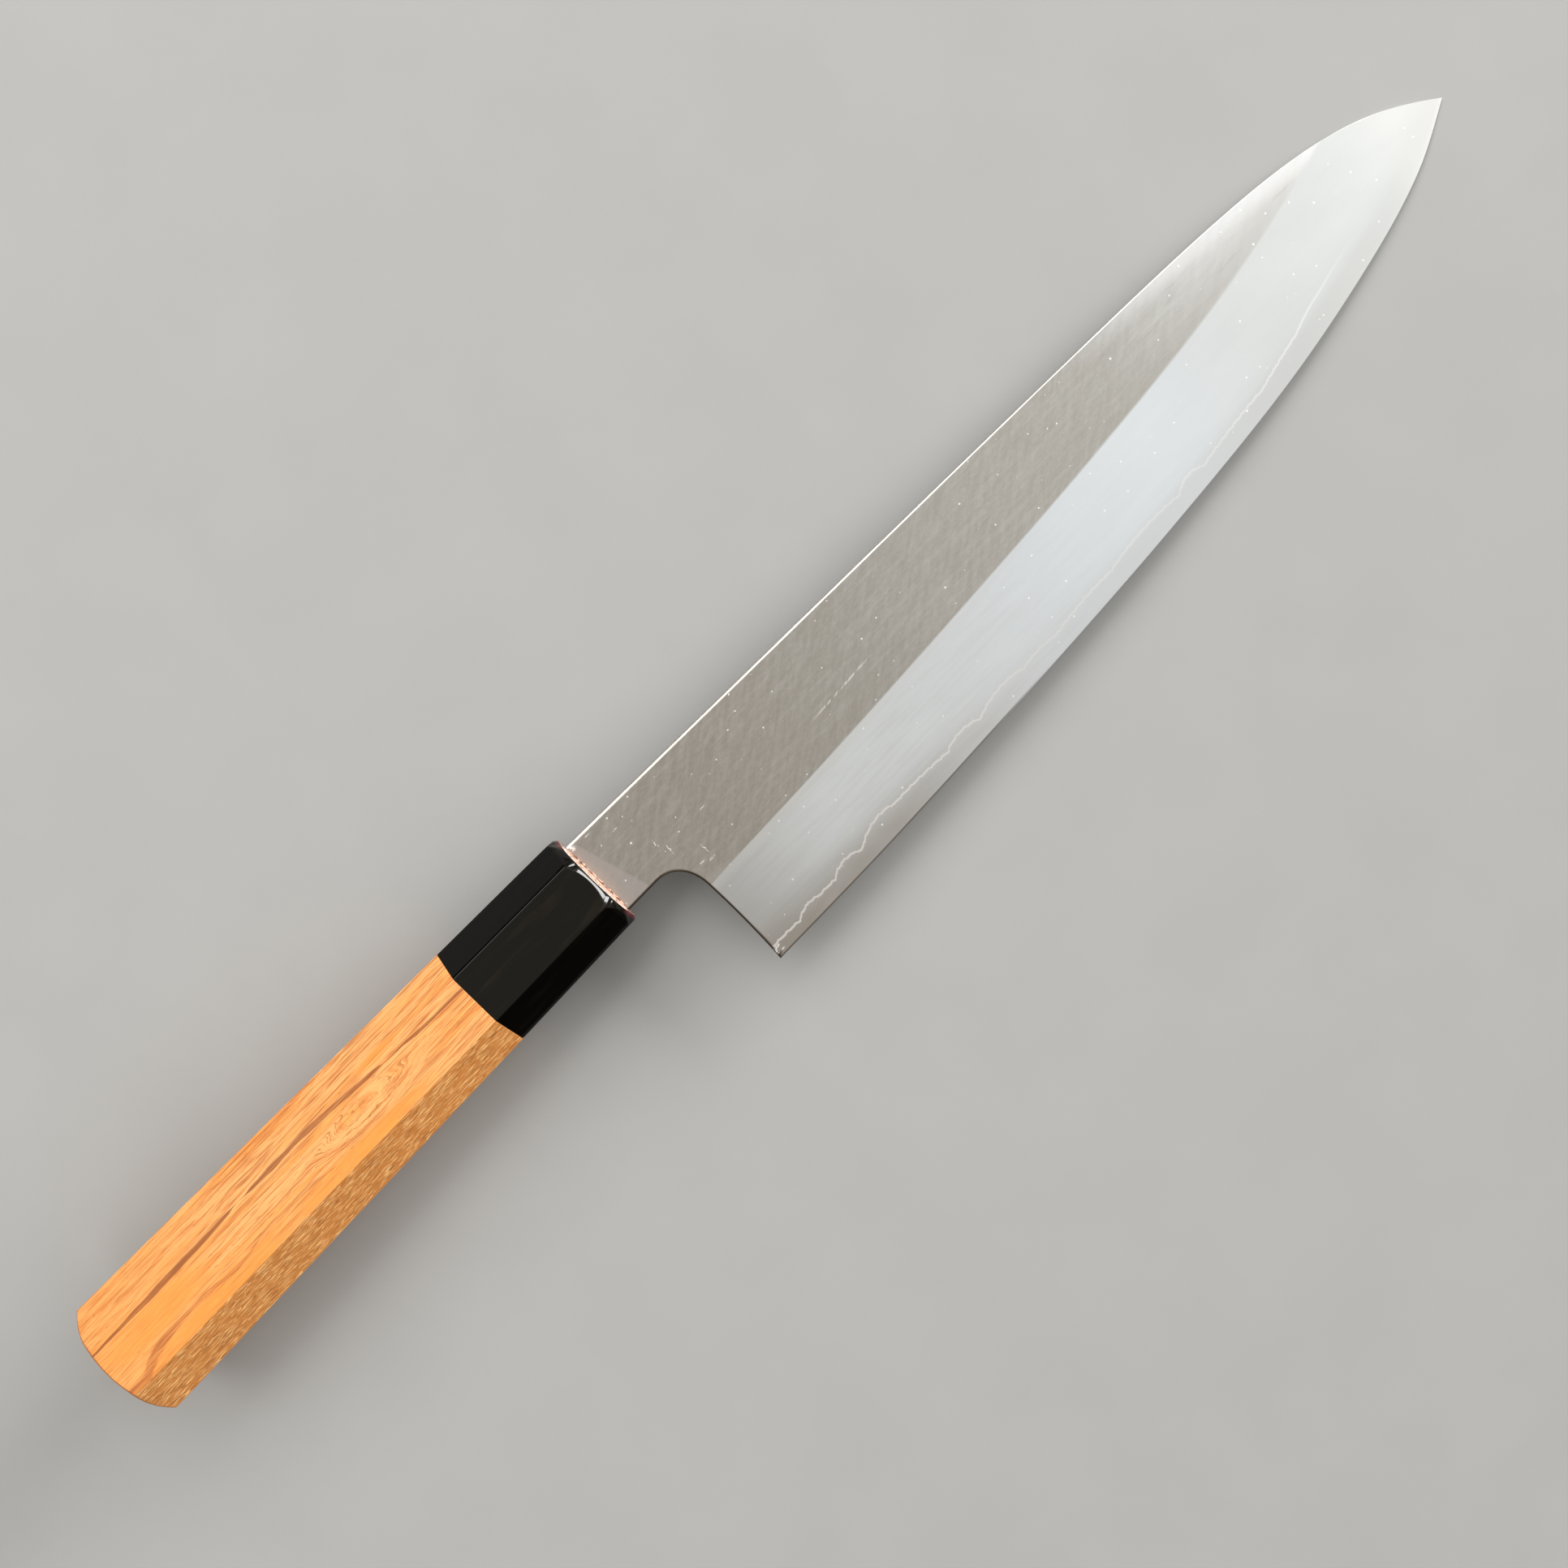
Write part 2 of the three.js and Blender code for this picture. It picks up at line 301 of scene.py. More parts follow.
def inner_ring(x, shape):
    """A ring inside the handle: shape gives its radius from the angle of each point."""
    flat = octagon(x)[0]
    angles = np.arctan2(flat[:, 1], flat[:, 0])
    radius = shape(angles)
    return np.column_stack([np.full(len(flat), x), radius * np.cos(angles), radius * np.sin(angles)])


def round_shape(radius):
    return lambda angles: np.full(len(angles), radius)


def slot_shape(half_height, half_thickness):
    """A rectangle with round corners, as radius from angle."""
    def radius(angles):
        reach = np.abs(np.cos(angles) / half_height) ** SLOT_POWER
        rise = np.abs(np.sin(angles) / half_thickness) ** SLOT_POWER
        return (reach + rise) ** (-1 / SLOT_POWER)
    return radius


def make_ferrule(material):
    slot = slot_shape(*FERRULE_SLOT)
    rings = [
        inner_ring(-FERRULE_LENGTH, round_shape(DOWEL_BORE["radius"])),
        handle_ring(-FERRULE_LENGTH, EASE),
        handle_ring(-FERRULE_LENGTH + EASE),
        *[handle_ring(x) for x in FERRULE_RINGS],
        *end_rings(NOSE, 1, 0.0),
        inner_ring(0.0, slot_shape(*(size + SLOT_EASE for size in FERRULE_SLOT))),
        inner_ring(-SLOT_EASE, slot),
        inner_ring(DOWEL_BORE["front"], slot),
        inner_ring(DOWEL_BORE["front"], round_shape(DOWEL_BORE["radius"])),
    ]
    make_piece("ferrule_shell", np.concatenate(rings), ring_faces(rings, 0, True), material,
               "ferrule")


def make_handle(material):
    rings = [
        inner_ring(TANG_BORE["back"], round_shape(TANG_BORE["radius"])),
        inner_ring(DOWEL_BORE["back"], round_shape(TANG_BORE["radius"])),
        inner_ring(DOWEL_BORE["back"], round_shape(DOWEL_BORE["radius"])),
        inner_ring(-FERRULE_LENGTH, round_shape(DOWEL_BORE["radius"])),
        handle_ring(-FERRULE_LENGTH, EASE),
        handle_ring(-FERRULE_LENGTH - EASE),
        *[handle_ring(x) for x in WOOD_RINGS],
        *end_rings(BUTT_END, -1, -HANDLE_LENGTH),
    ]
    points = np.concatenate(rings)
    faces = ring_faces(rings, 0, False)
    count = len(rings[0])
    faces.append(tuple(range(count)))
    faces.append(tuple(len(points) - count + i for i in range(count)))
    make_piece("handle_wood", points, faces, material, "handle_body")


def wander(x, seed, wave):
    """A smooth number between about -1 and 1 that changes over the length of a wave."""
    slow = math.sin(x / wave * 2 * math.pi + seed)
    quick = math.sin(x / wave * 4.7 * math.pi + 2.3 * seed)
    return (slow + 0.6 * quick) / 1.6


def bead_rings(side):
    """A thin uneven bead along one side of the neck, where it meets the ferrule."""
    rings = []
    steps = BEAD["steps"]
    for step in range(steps + 1):
        y = BEAD["bottom"] + (BEAD["top"] - BEAD["bottom"]) * step / steps
        fade = math.sqrt(max(0.0, 1 - (2 * step / steps - 1) ** 6)) * 0.95 + 0.05
        width = BEAD["width"] * fade * (1 + 0.35 * wander(y, 1.0 + side, 3.1))
        height = BEAD["height"] * fade * (1 + 0.4 * wander(y, 4.0 + side, 2.3))
        ring = []
        for k in range(BEAD["sides"]):
            angle = 2 * math.pi * k / BEAD["sides"]
            x = NECK_FRONT - BEAD_BEHIND + height * (0.5 + 0.5 * math.sin(angle))
            z = SPINE_HALF - BEAD_IN_NECK + width * (0.5 + 0.5 * math.cos(angle))
            ring.append((x, y, side * z))
        rings.append(ring)
    return np.array(rings)


def make_bedding(material):
    outer, inner = slot_shape(*(size - BEDDING_GAP for size in FERRULE_SLOT)), slot_shape(*BEDDING_OPENING)
    rings = [inner_ring(BEDDING_BACK, outer), inner_ring(BEDDING_FRONT, outer),
             inner_ring(BEDDING_FRONT, inner), inner_ring(BEDDING_BACK, inner)]
    points = [np.concatenate(rings)]
    faces = ring_faces(rings, 0, True)
    start = len(points[0])
    for side in (1, -1):
        bead = bead_rings(side)
        count = bead.shape[1]
        faces += ring_faces(bead, start, False)
        faces.append(tuple(start + i for i in range(count)))
        faces.append(tuple(start + (len(bead) - 1) * count + i for i in range(count)))
        points.append(bead.reshape(-1, 3))
        start += bead.shape[0] * count
    make_piece("tang_bedding_fill", np.concatenate(points), faces, material,
               "tang_bedding")


# ------------------------ blade


def bezier(points, steps):
    """A Bezier curve of any degree."""
    share = np.linspace(0, 1, steps + 1)[:, None]
    rows = [np.array(p, float)[None, :] for p in points]
    while len(rows) > 1:
        rows = [a * (1 - share) + b * share for a, b in zip(rows, rows[1:])]
    return rows[0]


def spline(points, steps):
    """A smooth curve through all the points, with so many steps from each to the next."""
    points = [np.array(p, float) for p in points]
    padded = [points[0], *points, points[-1]]
    curve = []
    for a, b, c, d in zip(padded, padded[1:], padded[2:], padded[3:]):
        for t in np.arange(steps) / steps:
            curve.append(((2 * t**3 - 3 * t**2 + 1) * b + (t**3 - 2 * t**2 + t) * (c - a) / 2
                          + (3 * t**2 - 2 * t**3) * c + (t**3 - t**2) * (d - b) / 2))
    curve.append(points[-1])
    return np.array(curve)


def straight(start, end, gap):
    steps = max(1, round(math.dist(start, end) / gap))
    return np.linspace(start, end, steps + 1)


def shifted(line, distance, side):
    """A line moved sideways: side 1 is to the left of its direction."""
    ahead = np.gradient(line, axis=0)
    ahead /= np.linalg.norm(ahead, axis=1)[:, None]
    left = np.column_stack([-ahead[:, 1], ahead[:, 0]])
    return line + side * left * np.asarray(distance).reshape(-1, 1)


edge_line = spline(EDGE_POINTS, steps=24)
spine_line = np.concatenate([
    straight((NECK_FRONT, NECK_TOP), SPINE_BEND, gap=1.5)[:-1],
    bezier((SPINE_BEND, *SPINE_TAIL, TIP), steps=90)])
choil_line = np.concatenate([
    straight((NECK_FRONT, NECK_BOTTOM), (NECK_RUN, NECK_BOTTOM), gap=0.5)[:-1],
    bezier(((NECK_RUN, NECK_BOTTOM), *CHOIL_BEND), steps=32)[:-1],
    bezier((CHOIL_BEND[-1], CHOIL_PULL, HEEL), steps=36)])


def edge_y(x):
    return np.interp(x, edge_line[:, 0], edge_line[:, 1])


def half_thickness(x):
    return SPINE_HALF + np.where(x < 0, TANG_TAPER, -BLADE_TAPER) * x


def bevel_height(x):
    share = np.clip((x - HEEL[0]) / (TIP[0] - HEEL[0]), 0, 1)
    return BEVEL_AT_HEEL + BEVEL_GAIN * np.sqrt(share)


def ridge_y(x):
    """The ridge between the flat and the ground bevel."""
    return edge_y(x) + bevel_height(x)


def ridge_soft(x):
    """The ridge is crisp at the heel and soft towards the tip."""
    return np.interp(x, *zip(*RIDGE_SOFT))


def layer_height(x):
    """Height of the line between the layers over the edge."""
    x = np.asarray(x, float)
    places, heights, rises = (np.array(column) for column in zip(*LAYER_DIPS))
    span = np.clip(np.searchsorted(places, x, side="right") - 1, 0, len(places) - 2)
    share = np.clip((x - places[span]) / (places[span + 1] - places[span]), 0, 1)
    lobe = rises[span] * np.sin(np.pi * share) ** 0.7
    ripple = sum(size * np.sin(x * rate + shift) for size, rate, shift in LAYER_RIPPLES)
    fade = np.interp(x, *zip(*RIPPLE_FADE))
    return heights[span] + (heights[span + 1] - heights[span]) * share + lobe + ripple * fade


def layer_y(x):
    return edge_y(x) + layer_height(x)


def distance_to(points, line):
    """Shortest distance from each point to a line of many short parts."""
    best = np.full(len(points), np.inf)
    for a, b in zip(line[:-1], line[1:]):
        way = b - a
        share = np.clip((points - a) @ way / (way @ way), 0, 1)
        best = np.minimum(best, np.linalg.norm(points - a - share[:, None] * way, axis=1))
    return best


def surface_height(flat):
    """Half the blade's thickness at points of its side view."""
    x, y = flat[:, 0], flat[:, 1]
    half = half_thickness(x)
    share = (y - edge_y(x)) / bevel_height(x)
    inside = np.clip(share, 0, 1)
    bevel = EDGE_HALF + (half - EDGE_HALF) * share + BEVEL_BELLY * 4 * inside * (1 - inside)
    height = np.where(x < NECK_FRONT, half, np.minimum(half, bevel))
    honed = np.clip((y - edge_y(x)) / HONED, 0, 1)
    height = np.where(x > HEEL[0] - 1, height - HONED_DROP * (1 - honed), height)
    spine_ease = np.interp(x, *zip(*SPINE_EASE))
    fade = np.interp(x, EASE_FADE, (1, 0))
    for line, width, drop in ((spine_line, spine_ease, SPINE_DROP), (choil_line, CHOIL_EASE, CHOIL_DROP)):
        width = np.minimum(width, EASE_LIMIT * height)
        rounded = height - fade * width * np.interp(distance_to(flat, line) / width, EASE_ROWS, drop)
        height = np.where(x < NECK_FRONT - 0.01, height, rounded)
    return height


def inside_outline(points, outline, margin):
    """Which points lie within the outline, and no closer to it than the margin."""
    x, y = points[:, 0], points[:, 1]
    crossings = np.zeros(len(points), int)
    for a, b in zip(outline, np.roll(outline, -1, axis=0)):
        spans = (a[1] > y) != (b[1] > y)
        with np.errstate(divide="ignore", invalid="ignore"):
            meet = a[0] + (y - a[1]) / (b[1] - a[1]) * (b[0] - a[0])
        crossings += spans & (x < meet)
    closed = np.concatenate([outline, outline[:1]])
    return (crossings % 2 == 1) & (distance_to(points, closed) > margin)


def blade_plan():
    """The blade and tang seen from the side, as points and triangles that follow all its lines."""
    tang_end = -TANG_LENGTH - TANG_NOSE
    tang = [(NECK_FRONT, -TANG_ROOT / 2), (-TANG_LENGTH, -TANG_TIP / 2), (tang_end, -TANG_NOSE),
            (tang_end, TANG_NOSE), (-TANG_LENGTH, TANG_TIP / 2), (NECK_FRONT, TANG_ROOT / 2)]
    outline = np.concatenate([spine_line[:-1], edge_line[::-1][:-1], choil_line[::-1], tang])
    lines = [np.concatenate([outline, outline[:1]])]
    spine_radius = np.interp(spine_line[:, 0], *zip(*SPINE_EASE))
    eased = spine_line[:, 0] < SPINE_EASE[-1][0]
    choil_radius = np.interp(choil_line[:, 1], (HEEL[1], HEEL[1] + CHOIL_EASE_RUN),
                             (CHOIL_EASE_AT_HEEL, CHOIL_EASE))

    # Rows beside the rim stop short of the heel and the tip, where they would cross one another.
    for row in (*EASE_ROWS[1:], OUTER_ROW):
        stop = CHOIL_STOP if row < OUTER_ROW else 2 * CHOIL_STOP
        lines.append(shifted(spine_line, row * spine_radius, -1)[eased])
        lines.append(shifted(choil_line, row * choil_radius, 1)[:-stop])
    lines.append(shifted(choil_line, RIM_ROW * CHOIL_RIM, 1)[:-2 * CHOIL_STOP])
    for rise in (HONED, 2 * HONED):
        lines.append(shifted(edge_line, rise, 1)[EDGE_PART])
    ridge_x = np.arange(HEEL[0] - 1, RIDGE_END, RIDGE_STEP)
    for offset in RIDGE_ROWS:
        lines.append(np.column_stack([ridge_x, ridge_y(ridge_x) + offset * ridge_soft(ridge_x)]))
    layer_x = np.arange(LAYER_DIPS[0][0], LAYER_DIPS[-1][0] + 0.1, LINE_STEP)
    for offset in LINE_ROWS:
        lines.append(np.column_stack([layer_x, layer_y(layer_x) + offset]))
    step_x, step_y = GRID_STEP
    columns, rows = np.arange(GRID_START[0], TIP[0], step_x), np.arange(GRID_START[1], NECK_TOP, step_y)
    grid = np.stack(np.meshgrid(columns, rows), -1).reshape(-1, 2)
    grid[:, 0] += GRID_SHIFT * (np.round(grid[:, 1] / step_y) % 2)
    taken = np.concatenate(lines)
    grid = grid[inside_outline(grid, outline, RIM_CLEARANCE)]
    near = np.array([np.min(np.linalg.norm(taken - p, axis=1)) for p in grid])
    grid = grid[near > ROW_CLEARANCE]

    kept, edges = [], []
    for line in lines:
        start = len(kept)
        kept += [Vector(p) for p in line]
        edges += [(start + i, start + i + 1) for i in range(len(line) - 1)]
    kept += [Vector(p) for p in grid]
    points, _, triangles, *_ = delaunay_2d_cdt(kept, edges, [], 1, MERGE_WITHIN, False)
    points = np.array(points)
    triangles = [t for t in triangles if len(t) == 3]
    middles = np.array([points[list(t)].mean(axis=0) for t in triangles])
    wanted = inside_outline(middles, outline, 0.0)
    triangles = [t for t, keep in zip(triangles, wanted) if keep]
    upper = middles[wanted][:, 1] > layer_y(middles[wanted][:, 0])
    upper |= middles[wanted][:, 0] < LAYER_DIPS[0][0]
    cladding = [t for t, over in zip(triangles, upper) if over]
    bare_core = [t for t, over in zip(triangles, upper) if not over]
    return points, cladding, bare_core


def rim_edges(triangles):
    """Edges that only one of the triangles has, in that triangle's direction."""
    ways = {(t[i], t[(i + 1) % 3]) for t in triangles for i in range(3)}
    return [way for way in ways if (way[1], way[0]) not in ways]


def plate(plan, triangles, top, bottom):
    """A closed body over some triangles of the plan, between two heights."""
    used = sorted({i for t in triangles for i in t})
    number = {old: new for new, old in enumerate(used)}
    count = len(used)
    points = [(*plan[i], top[i]) for i in used] + [(*plan[i], bottom[i]) for i in used]
    faces = [tuple(number[i] for i in t) for t in triangles]
    faces += [tuple(number[i] + count for i in reversed(t)) for t in triangles]
    faces += [(number[a], number[a] + count, number[b] + count, number[b]) for a, b in rim_edges(triangles)]
    return np.array(points), faces


def core_body(plan, upper, lower, inner, outer):
    """The middle layer: thin between the outer layers, and as thick as the blade along the edge."""
    points, number = [], {}

    def vertex(kind, i, side):
        key = (kind, i, side)
        if key not in number:
            number[key] = len(points)
            height = inner[i] if kind == "inner" else outer[i]
            points.append((*plan[i], side * height))
        return number[key]

    faces = []
    for kind, triangles in (("inner", upper), ("outer", lower)):
        for t in triangles:
            faces.append(tuple(vertex(kind, i, 1) for i in t))
            faces.append(tuple(vertex(kind, i, -1) for i in reversed(t)))
    upper_rim, lower_rim = set(rim_edges(upper)), set(rim_edges(lower))
    seam = {way for way in upper_rim if (way[1], way[0]) in lower_rim}
    seam_points = {i for way in seam for i in way}
    for a, b in seam:
        for side in (1, -1):
            wall = (vertex("inner", a, side), vertex("outer", a, side),
                    vertex("outer", b, side), vertex("inner", b, side))
            faces.append(wall if side > 0 else wall[::-1])
    for a, b in upper_rim - seam:
        faces.append((vertex("inner", a, 1), vertex("inner", a, -1),
                      vertex("inner", b, -1), vertex("inner", b, 1)))
    for a, b in lower_rim - {(b, a) for a, b in seam}:
        wall = [vertex("outer", a, 1)]
        wall += [vertex("inner", a, 1), vertex("inner", a, -1)] if a in seam_points else []
        wall += [vertex("outer", a, -1), vertex("outer", b, -1)]
        wall += [vertex("inner", b, -1), vertex("inner", b, 1)] if b in seam_points else []
        wall.append(vertex("outer", b, 1))
        faces.append(tuple(wall))
    return np.array(points), faces


def blade_values(piece, points):
    """What the steel's material needs to know at each point."""
    x, y = points[:, 0], points[:, 1]
    soft = ridge_soft(x)
    below_ridge = np.clip(0.5 - (y - ridge_y(x)) / (2 * soft), 0, 1)
    below_ridge = np.where(x < HEEL[0] - 1, 0, below_ridge)
    over_line = y - layer_y(x)
    line = np.where(over_line > 0, 1 - over_line / LINE_ABOVE, 1 + over_line / LINE_BELOW)
    line = np.where(x < HEEL[0] - 1, 0, np.clip(line, 0, 1))
    add_values(piece, "bevel", below_ridge)
    add_values(piece, "layer_line", line)
    add_values(piece, "over_edge", y - edge_y(x))
    add_values(piece, "over_ridge", y - ridge_y(x))
    add_values(piece, "under_spine", distance_to(points[:, :2], spine_line))
    # Where painted shade lies along the notch
    rim = np.clip(1 - distance_to(points[:, :2], choil_line) / CHOIL_RIM, 0, 1)
    add_values(piece, "choil_rim", np.where(x < NECK_FRONT, 0, rim))


def make_blade(clad, core):
    plan, upper, lower = blade_plan()
    surface = surface_height(plan)
    middle = np.minimum(CORE_HALF - CORE_TAPER * np.clip(plan[:, 0], 0, None), CORE_SHARE * surface)
    for name, side in (("cladding_right", 1), ("cladding_left", -1)):
        points, faces = plate(plan, upper, side * surface, side * middle)
        piece = make_piece(name + "_skin", points, faces, clad, name)
        blade_values(piece, points)
    points, faces = core_body(plan, upper, lower, middle, surface)
    piece = make_piece("core_steel_layer", points, faces, core, "core_steel")
    blade_values(piece, points)


# ------------------------ materials


class Shader:
    """A material's nodes, with one short method for each kind that is used."""

    def __init__(self, name):
        self.material = bpy.data.materials.new(name)
        self.material.use_nodes = True
        self.tree = self.material.node_tree
        self.surface = self.tree.nodes["Principled BSDF"]

    def put(self, socket, value):
        if isinstance(value, bpy.types.NodeSocket):
            self.tree.links.new(value, socket)
        else:
            socket.default_value = value

    def node(self, kind, inputs=(), **settings):
        made = self.tree.nodes.new("ShaderNode" + kind)
        for key, value in settings.items():
            setattr(made, key, value)
        for key, value in dict(inputs).items():
            self.put(made.inputs[key], value)
        return made

    def set(self, **values):
        """Values or links for the surface, by socket name with _ for a space."""
        for key, value in values.items():
            self.put(self.surface.inputs[key.replace("_", " ")], value)

    def place(self):
        """Position in millimetres in the knife's axes."""
        spot = self.node("TexCoord").outputs["Object"]
        moved = self.vector("SUBTRACT", spot, tuple(ORIGIN))
        return self.vector("MULTIPLY", moved, (1 / MM,) * 3)

    def vector(self, operation, a, b):
        return self.node("VectorMath", {0: a, 1: b}, operation=operation).outputs["Vector"]

    def split(self, vector):
        return self.node("SeparateXYZ", {0: vector}).outputs[:3]

    def join(self, x, y, z):
        return self.node("CombineXYZ", {0: x, 1: y, 2: z}).outputs[0]

    def math(self, operation, a, b=0.0, c=0.0):
        return self.node("Math", {0: a, 1: b, 2: c}, operation=operation).outputs[0]

    def times(self, first, *others):
        for other in others:
            first = self.math("MULTIPLY", first, other)
        return first

    def times_add(self, a, b, c):
        return self.math("MULTIPLY_ADD", a, b, c)

    def ramp(self, value, low, high, start=0.0, end=1.0):
        """A smooth step from start to end as value goes from low to high."""
        inputs = {"Value": value, "From Min": low, "From Max": high, "To Min": start, "To Max": end}
        return self.node("MapRange", inputs, interpolation_type="SMOOTHSTEP").outputs[0]

    def noise(self, vector, scale=1.0, detail=2.0, roughness=0.5):
        inputs = {"Vector": vector, "Scale": scale, "Detail": detail, "Roughness": roughness}
        return self.node("TexNoise", inputs).outputs[0]

    def grain(self, vector, stretch, detail=2.0, roughness=0.5):
        """Noise that is drawn out along the axes where stretch is small."""
        return self.noise(self.vector("MULTIPLY", vector, stretch), 1, detail, roughness)

    def mix(self, share, a, b):
        made = self.node("Mix", data_type="RGBA")
        colours = [s for s in made.inputs if s.type == "RGBA"]
        self.put(made.inputs[0], share)
        self.put(colours[0], a)
        self.put(colours[1], b)
        return next(s for s in made.outputs if s.type == "RGBA")

    def coats(self, colour, *coats):
        """A colour with tones laid over it one after another, each by its share."""
        for share, tone in coats:
            colour = self.mix(share, colour, tone)
        return colour

    def curve(self, value, points, low, high):
        """A smooth curve through (value, result) points, with results between low and high."""
        first, last = points[0][0], points[-1][0]
        share = self.node("MapRange", {"Value": value, "From Min": first, "From Max": last}).outputs[0]
        made = self.node("FloatCurve", {"Value": share})
        curve = made.mapping.curves[0]
        while len(curve.points) < len(points):
            curve.points.new(0.5, 0.5)
        for spot, (x, y) in zip(curve.points, points):
            spot.location = ((x - first) / (last - first), (y - low) / (high - low))
        made.mapping.update()
        return self.times_add(made.outputs[0], high - low, low)

    def spot(self, x, y, centre, reach, soft=1.0):
        """1 inside an ellipse in the XY plane, fading to 0 at its rim."""
        across = self.math("DIVIDE", self.math("SUBTRACT", x, centre[0]), reach[0])
        up = self.math("DIVIDE", self.math("SUBTRACT", y, centre[1]), reach[1])
        far = self.math("ADD", self.times(across, across), self.times(up, up))
        return self.ramp(far, 1 - soft, 1, 1, 0)

    def value(self, name):
        return self.node("Attribute", attribute_name=name).outputs["Fac"]

    def bump(self, height, distance, strength=1.0):
        inputs = {"Height": height, "Distance": distance, "Strength": strength}
        return self.node("Bump", inputs).outputs["Normal"]


def rgb(red, green, blue):
    return (red, green, blue, 1)


WOOD_PALE = rgb(0.82, 0.395, 0.13)
WOOD_ORANGE = rgb(0.82, 0.285, 0.045)
WOOD_DEEP = rgb(0.66, 0.23, 0.05)
WOOD_BROWN = rgb(0.4, 0.115, 0.022)
WOOD_STRIPE = rgb(0.3, 0.085, 0.015)
WOOD_FLECK = rgb(0.96, 0.55, 0.21)
# Tones of the faces cut along the rays: browner partly from the figure and partly painted shade
WOOD_RAY_FACE_SHADED = rgb(0.64, 0.235, 0.042)
WOOD_RAY_DARK = rgb(0.34, 0.115, 0.018)
RAY_WAY = (0, -0.707, 0.707)  # faces that look this way, or the opposite, are cut along the rays and take a browner tone that is partly painted shade

# Dark lines in the grain: Y and half width by X
STRIPE = ((-126, 4.7), (-103, 4.9), (-85.5, 5.25), (-72.5, 5.35), (-62.6, 4.8), (-48.6, 3.7), (-31, 2.8))
STRIPE_WIDTH = (
    (-126, 0.3), (-117, 0.55), (-112, 0.75), (-100, 0.7), (-90, 0.35), (-86.5, 0.08), (-83, 0.6),
    (-60, 0.6), (-54, 0.65), (-50, 0.15), (-44, 0.35), (-31, 0.45),
)
STREAK = (
    (-126, -4.8), (-122.5, -5.2), (-119, -4), (-116, -3), (-112, -2.4), (-103, -2.3), (-95.5, -2.95),
    (-87, -2.1), (-77, -2.3), (-70, -3.1), (-31, -3.6),
)
STREAK_WIDTH = (
    (-126, 0.6), (-121, 1.1), (-116, 1.2), (-111, 0.75), (-104, 0.5), (-96, 0.5), (-90, 0.28),
    (-82, 0.3), (-76, 0.35), (-68, 0), (-31, 0),
)

# Middle and half size in X and Y of the swirl, of the ticks round it, and of the orange patches
SWIRL = ((-58.9, -0.3), (15, 3.4))
TICKED = ((-63, 0.4), (24, 5))
PATCHES = (
    ((-112, 1.2), (17, 3.6)), ((-100, -4.4), (24, 2.8)),
    ((-66, -4.4), (24, 2.3)), ((-51, 6), (6, 1.2)),
)


